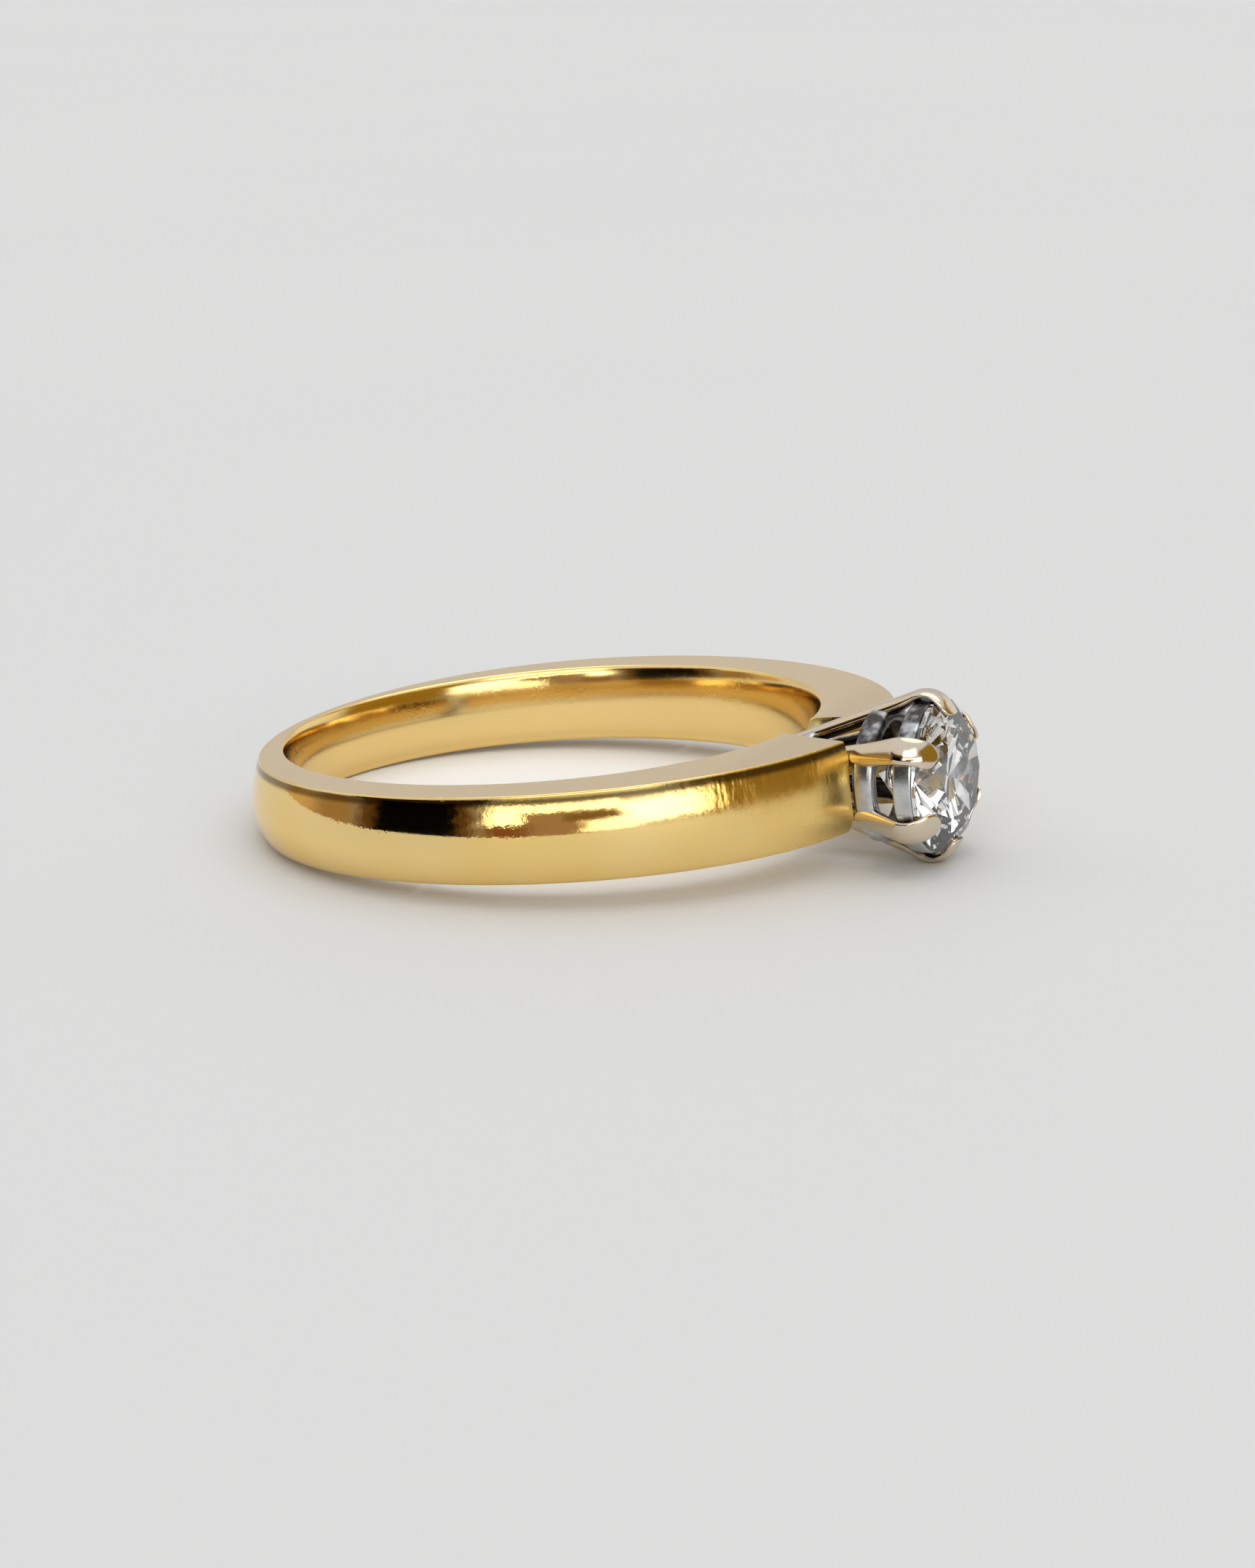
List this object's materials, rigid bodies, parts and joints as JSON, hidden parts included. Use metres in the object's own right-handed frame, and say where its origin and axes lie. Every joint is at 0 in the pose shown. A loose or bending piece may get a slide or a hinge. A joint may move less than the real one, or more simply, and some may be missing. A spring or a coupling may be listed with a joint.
{
  "type": "engagement ring",
  "caption": "Solitaire finger ring: a tapering, domed yellow band with a white claw head that holds a round brilliant-cut clear stone.",
  "frame": {"origin": "centre of the finger hole, at the middle of the band's width", "axes": "+Z along the axis of the finger hole, +X from the finger hole to the stone"},
  "size_m": [0.0233, 0.0212, 0.0054],
  "materials": {
    "yellow_gold": "polished",
    "white_gold": "polished",
    "stone": "cut and polished"
  },
  "bodies": {
    "root": {"shank": "yellow_gold", "base_collar": "white_gold", "lower_gallery": "white_gold", "bearing_ring": "white_gold", "claw_1": "white_gold", "claw_2": "white_gold", "claw_3": "white_gold", "claw_4": "white_gold", "claw_5": "white_gold", "claw_6": "white_gold", "diamond": "stone"}
  },
  "joints": []
}
